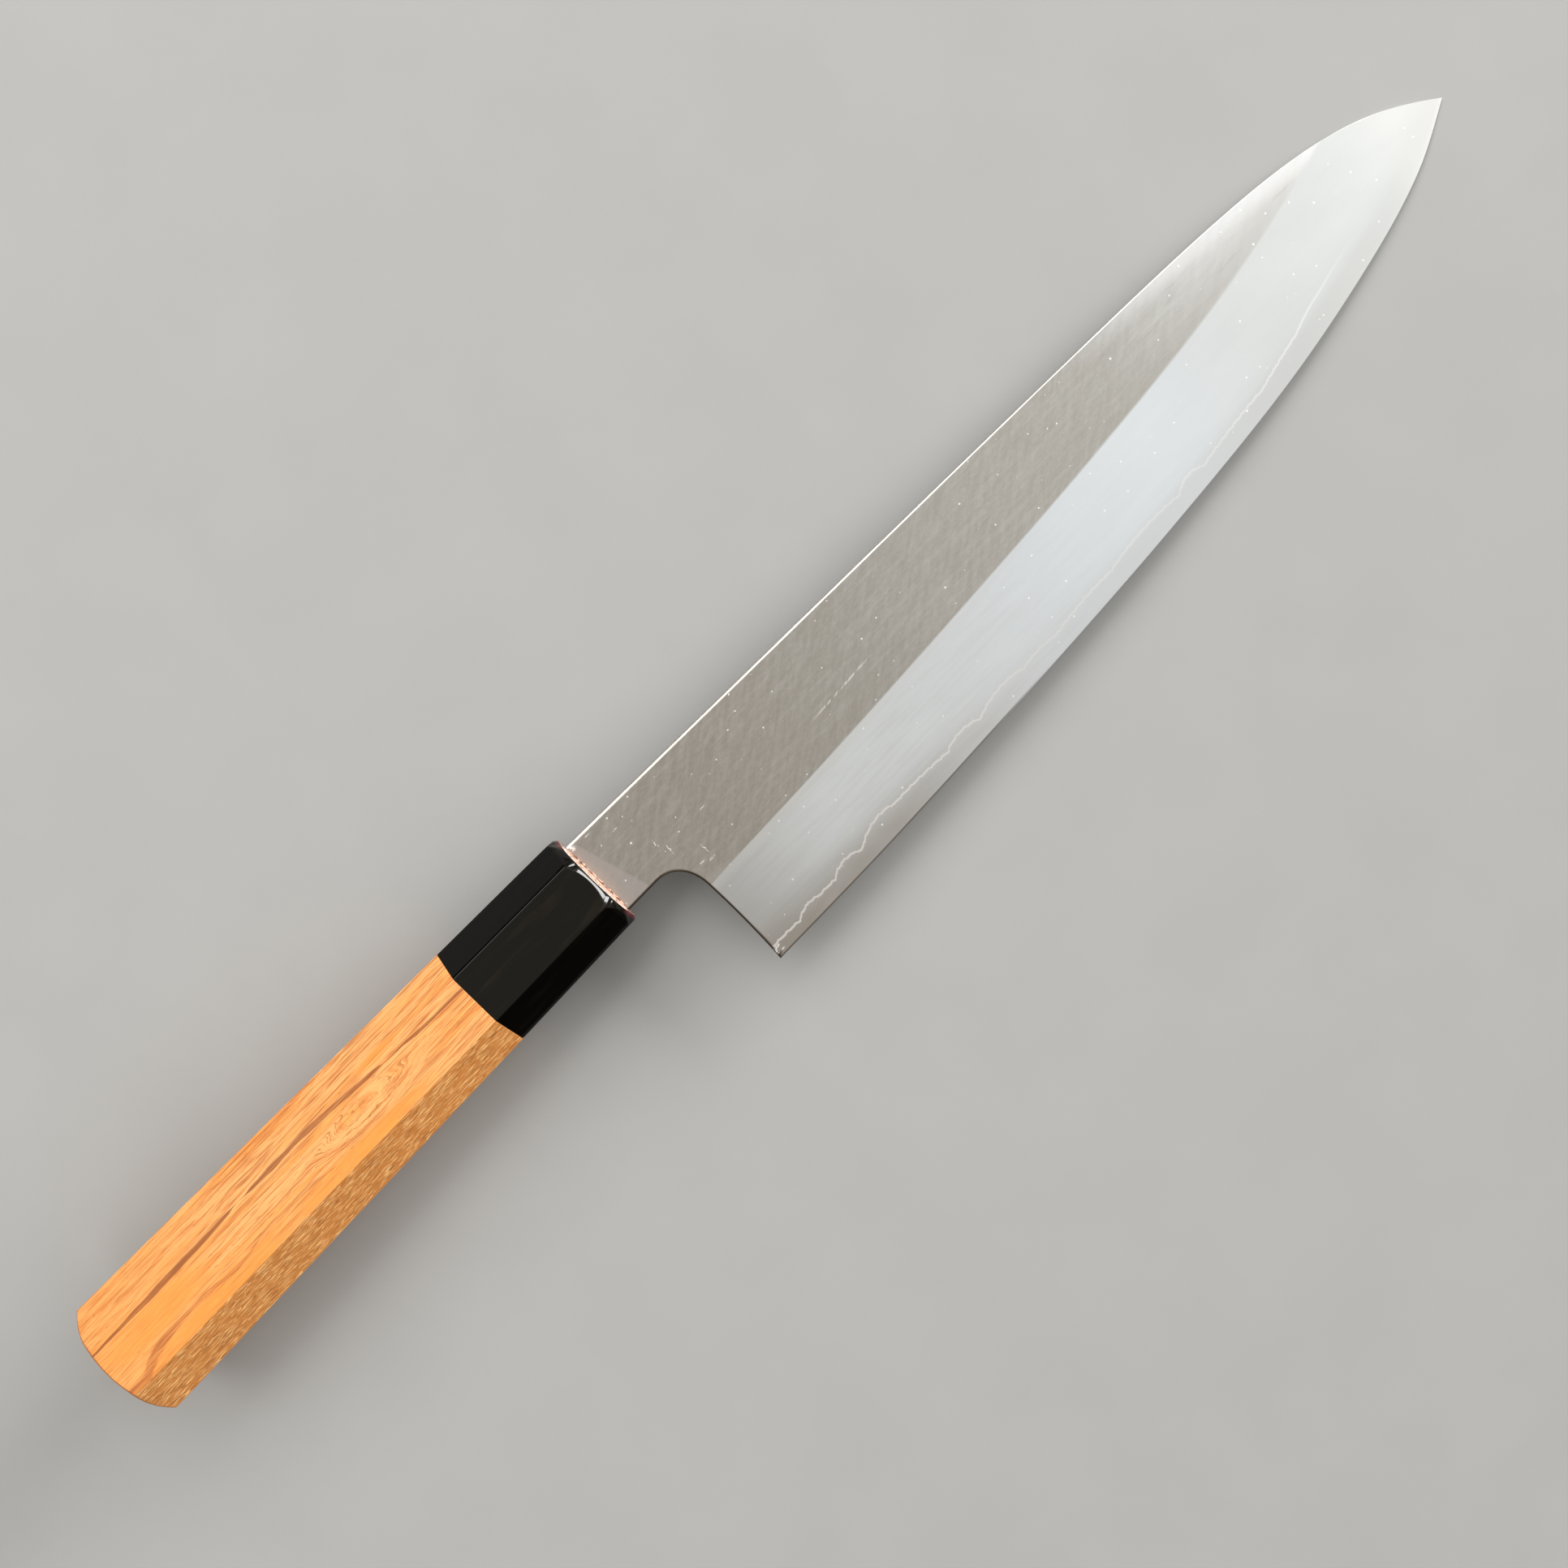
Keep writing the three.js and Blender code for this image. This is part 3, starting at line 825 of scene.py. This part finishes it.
def wood_material():
    shade = Shader("handle_oak")
    where = shade.place()
    x, y, z = shade.split(where)
    drift = shade.grain(where, (0.018, 0.13, 0.13))
    drift = shade.times_add(drift, 3.2, -1.6)
    tilted = shade.times_add(z, 0.45, -4.2)

    # The growth layers run along the handle, and bulge round one swirl.
    swirl = shade.spot(x, y, *SWIRL)
    wrinkle = shade.grain(where, (0.28, 0.8, 0.8), 3, 0.6)
    layers = shade.math("ADD", shade.math("ADD", y, tilted), drift)
    layers = shade.times_add(swirl, shade.times_add(wrinkle, 1.5, 1.2), layers)
    stretched = shade.join(shade.times(x, 0.035), layers, shade.times(z, 0.35))
    fibre = shade.noise(stretched, 2.3, 5, 0.66)
    bands = shade.noise(stretched, 0.62)
    fine = shade.grain(where, (0.22, 5, 5), 3, 0.6)
    hairs = shade.noise(shade.join(shade.times(x, 0.055), shade.times(layers, 5.5), shade.times(z, 1.2)))
    lines = shade.grain(where, (0.13, 3.1, 3.1), 2, 0.6)
    colour = shade.coats(
        WOOD_PALE,
        (shade.ramp(bands, 0.44, 0.68, 0, 0.8), WOOD_ORANGE),
        (shade.ramp(fibre, 0.5, 0.58, 0, 0.85), WOOD_DEEP),
        (shade.ramp(fibre, 0.58, 0.66, 0, 0.7), WOOD_BROWN),
        (shade.ramp(fibre, 0.46, 0.38, 0, 0.6), WOOD_PALE),
        (shade.ramp(hairs, 0.56, 0.66, 0, 0.7), WOOD_BROWN),
        (shade.ramp(lines, 0.54, 0.62, 0, 0.45), WOOD_BROWN),
        (shade.ramp(lines, 0.46, 0.38, 0, 0.25), WOOD_PALE),
    )

    # Broad orange figure and brown streaks on the lower half of the upper face
    patches = 0
    for middle, reach in PATCHES:
        patches = shade.math("MAXIMUM", patches, shade.spot(x, y, middle, reach, 0.9))
    uneven = shade.ramp(fibre, 0.65, 0.42, 0.3, 1)
    colour = shade.mix(shade.times(patches, uneven), colour, WOOD_ORANGE)
    colour = shade.mix(shade.ramp(x, -85, -118, 0, 0.35), colour, WOOD_ORANGE)
    ragged = shade.grain(where, (0.16, 1.3, 0.5), 4)
    ragged = shade.times_add(ragged, 0.8, -0.4)
    slope = shade.times(shade.math("SUBTRACT", z, 9.4), 0.45)

    def dark_line(points, widths, low, high):
        """How dark a ragged line along the handle is, from its place across the handle and half width."""
        away = shade.math("SUBTRACT", y, shade.curve(x, points, low, high))
        away = shade.math("ABSOLUTE", shade.math("ADD", shade.math("ADD", away, slope), ragged))
        width = shade.curve(x, widths, 0, 1)
        dark = shade.ramp(away, width, shade.times(width, 0.45))
        return shade.times(dark, shade.ramp(width, 0.02, 0.15), shade.ramp(hairs, 0.36, 0.5, 0.45, 0.97))

    broken = shade.ramp(fine, 0.4, 0.54, 0.4, 1)
    streak = shade.times(dark_line(STREAK, STREAK_WIDTH, -8, 0), broken)
    colour = shade.mix(streak, colour, WOOD_BROWN)

    # Dark ticks where vessels are cut open, thickest round the swirl
    ticks = shade.join(shade.times(x, 0.42), shade.times(layers, 4.6), shade.times(z, 2))
    ticks = shade.noise(ticks, 1, 1)
    around = shade.spot(x, y, *TICKED)
    limit = shade.times_add(around, -0.06, 0.72)
    ticks = shade.ramp(ticks, limit, shade.math("ADD", limit, 0.05), 0, 0.75)
    colour = shade.mix(ticks, colour, WOOD_BROWN)

    colour = shade.mix(dark_line(STRIPE, STRIPE_WIDTH, 0, 8), colour, WOOD_STRIPE)

    # Flats cut along the rays are browner, partly from the ray figure and partly painted shade, with short
    # light flecks.
    facing = shade.node("NewGeometry").outputs["Normal"]
    across = shade.node("VectorMath", {0: facing, 1: RAY_WAY}, operation="DOT_PRODUCT")
    ray_face_and_shade = shade.ramp(shade.math("ABSOLUTE", across.outputs["Value"]), 0.9, 0.975)
    ray_tone = shade.mix(shade.ramp(fine, 0.5, 0.62), WOOD_RAY_FACE_SHADED, WOOD_RAY_DARK)
    flecks = shade.grain(where, (0.4, 6.2, 6.2), 1)
    flecks = shade.ramp(flecks, 0.57, 0.61, 0, 0.95)
    ray_tone = shade.mix(flecks, ray_tone, WOOD_FLECK)
    colour = shade.mix(ray_face_and_shade, colour, ray_tone)

    # The sawn end is darker, partly as end grain and partly painted shade.
    end_grain_and_shade = shade.ramp(shade.math("ABSOLUTE", shade.split(facing)[0]), 0.05, 0.35, 0, 0.75)
    colour = shade.mix(end_grain_and_shade, colour, WOOD_BROWN)
    tone = shade.ramp(fine, 0.35, 0.65, 0.92, 1.06)
    colour = shade.node("HueSaturation", {"Color": colour, "Value": tone}).outputs[0]

    relief = shade.math("SUBTRACT", fibre, shade.times(ticks, 0.6))
    relief = shade.math("ADD", relief, shade.times(fine, 0.5))
    shade.set(Base_Color=colour, Roughness=shade.ramp(fibre, 0.3, 0.7, 0.4, 0.55),
              Normal=shade.bump(relief, 0.00004, 0.5), Coat_Weight=0.05, Coat_Roughness=0.3)
    return shade.material


HORN_BLACK = rgb(0.0035, 0.003, 0.002)
HORN_BROWN = rgb(0.013, 0.009, 0.0045)
HORN_WINE = rgb(0.07, 0.01, 0.016)
# Painted reflection on the cut end
HORN_FACE_REFLECTION = rgb(0.86, 0.6, 0.46)
HORN_VEIN = rgb(0.3, 0.12, 0.07)
# Painted shade for the facets that lean to the spine or the edge
HORN_SHADE = rgb(0, 0, 0)
HORN_IOR = 1.43


def horn_material():
    shade = Shader("ferrule_horn")
    where = shade.place()
    x, y, _ = shade.split(where)
    streak = shade.grain(where, (0.05, 0.5, 0.5), 4, 0.6)
    fine = shade.grain(where, (0.25, 3, 3), 3)
    colour = shade.mix(shade.ramp(streak, 0.5, 0.75, 0, 0.7), HORN_BLACK, HORN_BROWN)

    # The cut end is wine red at the narrow ends of its rim. Between them it carries a painted reflection,
    # amber with brown lines.
    ends = shade.ramp(shade.math("ABSOLUTE", y), 7.9, 9.2)
    near_front = shade.ramp(x, -0.9, -0.2)
    colour = shade.mix(shade.times(near_front, ends), colour, HORN_WINE)
    flecked = shade.grain(where, (0.5, 1.1, 0.9), 3, 0.65)
    amber = shade.mix(shade.ramp(flecked, 0.45, 0.66), HORN_FACE_REFLECTION, HORN_VEIN)
    facing = shade.node("NewGeometry").outputs["Normal"]
    face = shade.ramp(shade.split(facing)[0], 0.86, 0.96)
    face = shade.times(face, shade.ramp(ends, 0, 1, 0.92, 0.25))
    colour = shade.mix(face, colour, amber)

    # Facets that lean to the spine or the edge get less specular, and painted shade darkens their colour.
    leaning = shade.ramp(shade.math("ABSOLUTE", shade.split(facing)[1]), 0.3, 0.6)
    leaning = shade.times(leaning, shade.ramp(x, -1, -2))
    shine = shade.times_add(leaning, -0.16, 0.34)
    colour = shade.mix(shade.times(leaning, 0.6), colour, HORN_SHADE)
    relief = shade.times_add(fine, 0.2, streak)
    shade.set(Base_Color=colour, Roughness=shade.ramp(fine, 0.3, 0.7, 0.07, 0.1), IOR=HORN_IOR,
              Specular_IOR_Level=shine, Normal=shade.bump(relief, 0.00002, 0.2))
    return shade.material


SLANT = math.radians(34)  # of the polishing marks on the flat

# Tones of the flat and of the bevel at the heel, and then further along the blade; the flat's darker tone
# and the changes along the blade are partly painted reflection
CLADDING_AT_HEEL = (rgb(0.435, 0.405, 0.365), rgb(0.62, 0.625, 0.62))
CORE_AT_HEEL = (rgb(0.43, 0.4, 0.365), rgb(0.66, 0.65, 0.63))
FLAT_MIDDLE = rgb(0.5, 0.48, 0.435)
FLAT_TIP = rgb(0.88, 0.875, 0.865)
BEVEL_MIDDLE = rgb(0.885, 0.925, 0.955)
BEVEL_FAR = rgb(0.78, 0.8, 0.79)
BEVEL_TIP = rgb(0.83, 0.83, 0.81)
BEVEL_LOW = rgb(0.46, 0.42, 0.38)
NECK_TONE = rgb(0.58, 0.54, 0.525)
LINE_TONE = rgb(0.97, 0.95, 0.94)
LINE_FAR = rgb(0.98, 0.985, 0.985)
# Painted reflection along the spine
SPINE_SHINE = rgb(0.95, 0.955, 0.95)
# Painted shade along the honed edge and the notch's rim
RIM_TONE = rgb(0.1, 0.075, 0.055)

# Middle and half size in X and Y of the long scratch, and of the short ones near the heel
LONG_SCRATCH = ((58.5, -11.2), (10.5, 0.28))
LONG_SLOPE = -0.05
SCRATCHES = (
    ((12.5, -3.6), (0.13, 1.5)), ((13.7, -6.3), (0.13, 1.6)), ((18.4, -10.8), (0.12, 1.4)),
    ((23.6, -5.1), (0.9, 0.11)), ((16.2, -12.4), (0.8, 0.14)), ((18.2, -13.2), (1, 0.3)),
    ((9.2, 3.9), (0.7, 0.12)), ((4.6, 6.9), (0.9, 0.13)), ((0.9, 7.2), (0.7, 0.8)),
    ((14.5, -34), (1.2, 0.35)), ((14, -34.5), (0.4, 0.9)), ((15, -35), (0.9, 0.3)),
)


def steel_material(name, flat_tone, bevel_tone):
    """Ground steel: a darker flat, a lighter satin bevel, and a bright line where the layers meet, with
    painted reflection and painted shade in their tones.
    """
    shade = Shader(name)
    where = shade.place()
    x, y, z = shade.split(where)
    bevel, line, over_edge, over_ridge = (
        shade.value(key) for key in ("bevel", "layer_line", "over_edge", "over_ridge"))

    # Polishing marks: slanted on the flat, along the blade on the bevel
    along = shade.times_add(y, math.sin(SLANT), shade.times(x, math.cos(SLANT)))
    aside = shade.times_add(y, math.cos(SLANT), shade.times(x, -math.sin(SLANT)))
    slanted = shade.join(along, aside, z)
    haze = shade.grain(slanted, (0.16, 0.9, 0), 5, 0.65)
    marks = shade.grain(slanted, (0.3, 2.2, 1))
    smears = shade.grain(where, (0.09, 1.1, 1), 4, 0.6)
    cloud = shade.grain(where, (0.05, 0.12, 0.1), 3)
    mottle = shade.grain(where, (0.9, 1.7, 1), 4, 0.65)

    # Tone of the flat, which painted reflection lightens towards the tip and the spine, and painted shade
    # darkens beside the ridge
    shaded = shade.times(shade.ramp(over_ridge, 8, 0.5), shade.ramp(x, 110, 150, 0, 0.42),
                         shade.ramp(x, 201, 180, 0.6, 1))
    shine = shade.times(shade.ramp(shade.value("under_spine"), 4.5, 0.4), shade.ramp(x, 125, 175), 0.8)
    flat = shade.coats(
        flat_tone,
        (shade.ramp(x, 15, 95), FLAT_MIDDLE),
        (shade.ramp(x, 130, 200), FLAT_TIP),
        (shade.ramp(haze, 0.36, 0.66, 0, 0.09), FLAT_TIP),
        (shade.ramp(mottle, 0.4, 0.62, 0, 0.08), FLAT_TIP),
        (shade.ramp(smears, 0.48, 0.66, 0, 0.09), FLAT_TIP),
        (shade.ramp(smears, 0.46, 0.34, 0, 0.22), BEVEL_LOW),
        (shaded, FLAT_MIDDLE),
        (shine, SPINE_SHINE),
    )

    # Tone of the bevel, with painted reflection that turns it bluish and then pale along the blade, painted
    # shade that browns it near the edge at the heel, and a painted highlight just below the ridge
    edge_shade = shade.times(shade.ramp(over_edge, 9.5, 1), shade.ramp(x, 95, 30, 0.12, 0.9),
                            shade.ramp(cloud, 0.3, 0.6, 0.7, 1))
    streaks = shade.times(shade.ramp(smears, 0.4, 0.68, 0, 0.1), shade.ramp(x, 140, 40, 0.2, 1))
    # Painted highlight: a paler band just below the ridge
    below = shade.times(shade.ramp(over_ridge, -2.6, -0.6), shade.ramp(x, 130, 40), 0.45)
    ground = shade.coats(
        bevel_tone,
        (shade.ramp(x, 10, 42), BEVEL_MIDDLE),
        (shade.ramp(x, 125, 172), BEVEL_FAR),
        (shade.ramp(x, 196, 221), BEVEL_TIP),
        (edge_shade, BEVEL_LOW),
        (streaks, BEVEL_LOW),
        (below, BEVEL_TIP),
    )

    # The smooth neck, the line between the layers with a painted shadow below it, and painted shade along
    # the honed edge and along the notch's rim
    smooth_neck = shade.ramp(shade.times_add(y, 0.27, x), 4.1, 3.4)
    line_strength = shade.times(shade.ramp(x, 68, 86, 1, 0.7), shade.ramp(x, 196, 168),
                                shade.ramp(line, 0.05, 0.6))
    line_tone = shade.mix(shade.ramp(x, 86, 115), LINE_TONE, LINE_FAR)
    # Painted shadow under the line between the layers
    line_shadow = shade.times(shade.ramp(over_edge, 5.5, 3), shade.ramp(x, 70, 130),
                          shade.ramp(x, 216, 190), 0.13)
    honed = shade.times(shade.ramp(over_edge, 0.42, 0.18), shade.ramp(x, 95, 70, 0, 0.75))
    rim = shade.math("MAXIMUM", honed, shade.ramp(shade.value("choil_rim"), 0, 0.55))
    colour = shade.coats(
        flat,
        (bevel, ground),
        (shade.times(smooth_neck, 0.8), NECK_TONE),
        (line_strength, line_tone),
        (line_shadow, BEVEL_LOW),
        (rim, RIM_TONE),
    )

    # Wear: one long scratch, single short ones near the heel, and scattered bright specks
    scratch = shade.spot(x, shade.times_add(x, LONG_SLOPE, y), *LONG_SCRATCH)
    bright = shade.times(scratch, shade.ramp(marks, 0.42, 0.56, 0, 0.5))
    crumbs = shade.ramp(shade.noise(where, 2.3, 2), 0.4, 0.55, 0.15, 1)
    bent = shade.times_add(mottle, 1.2, shade.math("SUBTRACT", x, 0.6))
    for middle, reach in SCRATCHES:
        mark = shade.times(shade.spot(bent, y, middle, reach), crumbs)
        bright = shade.math("MAXIMUM", bright, mark)
    specks = shade.node("TexVoronoi", {"Vector": where, "Scale": 0.17}, voronoi_dimensions="2D")
    specks = specks.outputs["Distance"]
    size = shade.ramp(mottle, 0.42, 0.62, 0.005, 0.05)
    specks = shade.times(shade.ramp(specks, size, shade.times(size, 0.5)), 0.8)
    bright = shade.math("MAXIMUM", bright, specks)
    colour = shade.mix(bright, colour, LINE_TONE)

    flat_rough = shade.ramp(haze, 0.3, 0.7, 0.278, 0.31)
    ground_rough = shade.ramp(cloud, 0.3, 0.7, 0.278, 0.3)
    rough = shade.node("Mix", {"Factor": bevel, "A": flat_rough, "B": ground_rough}).outputs[0]
    rough = shade.times_add(bright, 0.2, rough)
    shade.set(Base_Color=colour, Metallic=1, Roughness=rough)
    return shade.material


DOWEL_PALE = rgb(0.66, 0.45, 0.24)
DOWEL_DARK = rgb(0.5, 0.31, 0.15)
ADHESIVE_PALE = rgb(0.7, 0.42, 0.3)
ADHESIVE_DARK = rgb(0.16, 0.07, 0.045)
FLOOR_DARK = rgb(0.345, 0.345, 0.34)
FLOOR_PALE = rgb(0.355, 0.355, 0.35)


def dowel_material():
    shade = Shader("dowel_wood")
    where = shade.place()
    fibre = shade.grain(where, (0.06, 2.2, 2.2), 4, 0.6)
    colour = shade.mix(shade.ramp(fibre, 0.35, 0.65), DOWEL_PALE, DOWEL_DARK)
    shade.set(Base_Color=colour, Roughness=0.65, Normal=shade.bump(fibre, 0.00005, 0.5))
    return shade.material


def adhesive_material():
    shade = Shader("bedding_adhesive")
    where = shade.place()
    clots = shade.grain(where, (1, 0.8, 1), 3)
    colour = shade.mix(shade.ramp(clots, 0.38, 0.6), ADHESIVE_PALE, ADHESIVE_DARK)
    shade.set(Base_Color=colour, Roughness=0.35, Normal=shade.bump(clots, 0.0001, 0.5))
    return shade.material


def floor_material():
    shade = Shader("studio_floor")
    spot = shade.node("TexCoord").outputs["Object"]
    grain = shade.noise(spot, 40, 3)
    shade.set(Base_Color=shade.mix(shade.ramp(grain, 0.3, 0.7), FLOOR_DARK, FLOOR_PALE), Roughness=0.8)
    return shade.material


# ------------------------ studio

# Colour of the surroundings by how far a direction leans towards the tip, their strength at the horizon,
# and how high it is full
SKY = (
    (0.00, rgb(0.53, 0.505, 0.465)), (0.16, rgb(0.61, 0.59, 0.56)), (0.26, rgb(0.70, 0.69, 0.675)),
    (0.37, rgb(0.79, 0.79, 0.785)), (0.47, rgb(0.87, 0.875, 0.87)), (0.56, rgb(0.98, 0.98, 0.97)),
)
HORIZON = 0.06
FULL_SKY = 0.55
FLOOR_SIZE = 4.0
LIGHT_AIM = (70.0, 0.0, 0.0)  # spot on the knife, in millimetres, that the lights face

# Name, direction in the knife's axes, distance and size in metres, radiance, colour
LIGHTS = (
    ("key", (-0.2, 1.0, 1.0), 1.25, (1.9, 0.9), 2.5, (1.0, 0.985, 0.96)),
    ("fill", (-0.8, -1.0, 0.75), 1.5, (0.9, 0.5), 1.6, (1.0, 0.99, 0.97)),
    ("window", (1.0, 0.0, 0.27), 3.0, (2.4, 0.7), 30.0, (1.0, 1.0, 0.99)),
)


def on_table(right, up, height):
    """Metres in the frame's axes, from millimetres over the table from the spot under the camera."""
    return place(from_table @ (Vector((right, up, height)) - FACE_ON_TABLE))


def make_camera():
    data = bpy.data.cameras.new("camera")
    data.lens = LENS
    data.sensor_width = SENSOR
    data.clip_start = 0.01
    camera = add_object("camera", data)
    camera.matrix_world = Matrix.LocRotScale(Vector(on_table(0, 0, CAMERA_HEIGHT)), from_table, None)
    bpy.context.scene.camera = camera


def lowest_over_table():
    """Height of the object's lowest point over the table, in metres."""
    up = np.array(from_table @ Vector((0, 0, 1)))
    spot = on_table(0, 0, 0)
    lowest = math.inf
    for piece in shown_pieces():
        points = np.array([v.co for v in piece.data.vertices])
        lowest = min(lowest, float(np.min((points - spot) @ up)))
    return lowest


def make_floor(material):
    mesh = bpy.data.meshes.new("floor")
    half = FLOOR_SIZE / 2
    corners = [(-half, -half, 0), (half, -half, 0), (half, half, 0), (-half, half, 0)]
    mesh.from_pydata(corners, [], [(0, 1, 2, 3)])
    mesh.materials.append(material)
    spot = Vector(on_table(0, 0, 0)) + from_table @ Vector((0, 0, lowest_over_table()))
    floor = add_object("floor", mesh)
    floor.matrix_world = Matrix.LocRotScale(spot, from_table, None)
    floor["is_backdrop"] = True


def make_light(name, towards, distance, size, strength, colour):
    """A soft box that faces the knife: the way to it in the knife's axes, and its radiance as strength."""
    data = bpy.data.lights.new(name, "AREA")
    data.shape = "RECTANGLE"
    data.size, data.size_y = size
    data.energy = strength * math.pi * size[0] * size[1]
    data.color = colour
    light = add_object(name, data)
    way = Vector(towards).normalized()
    middle = Vector(place(LIGHT_AIM))
    light.matrix_world = Matrix.LocRotScale(middle + way * distance, way.to_track_quat("Z", "Y"), None)
    light.visible_camera = False


def make_studio():
    """Light all round: dim over the handle and the heel, and brighter towards the tip."""
    world = bpy.data.worlds.new("studio")
    world.use_nodes = True
    bpy.context.scene.world = world
    tree = world.node_tree
    split = tree.nodes.new("ShaderNodeSeparateXYZ")
    tree.links.new(tree.nodes.new("ShaderNodeTexCoord").outputs["Generated"], split.inputs[0])
    steps = tree.nodes.new("ShaderNodeValToRGB")
    tree.links.new(split.outputs["X"], steps.inputs[0])
    while len(steps.color_ramp.elements) < len(SKY):
        steps.color_ramp.elements.new(0.5)
    for step, (position, colour) in zip(steps.color_ramp.elements, SKY):
        step.position, step.color = position, colour
    height = tree.nodes.new("ShaderNodeMapRange")
    height.interpolation_type = "SMOOTHSTEP"
    tree.links.new(split.outputs["Z"], height.inputs["Value"])
    for key, value in {"From Min": 0.0, "From Max": FULL_SKY, "To Min": HORIZON, "To Max": 1.0}.items():
        height.inputs[key].default_value = value
    tree.links.new(steps.outputs[0], tree.nodes["Background"].inputs["Color"])
    tree.links.new(height.outputs[0], tree.nodes["Background"].inputs["Strength"])
    for light in LIGHTS:
        make_light(*light)
    bpy.context.scene.view_settings.view_transform = "Standard"


make_camera()
make_ferrule(horn_material())
make_handle(wood_material())
make_bedding(adhesive_material())
clad_steel = steel_material("cladding_steel", *CLADDING_AT_HEEL)
core_steel = steel_material("core_steel", *CORE_AT_HEEL)
make_blade(clad_steel, core_steel)
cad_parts["dowel"].data.materials.clear()
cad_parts["dowel"].data.materials.append(dowel_material())
make_floor(floor_material())
make_studio()
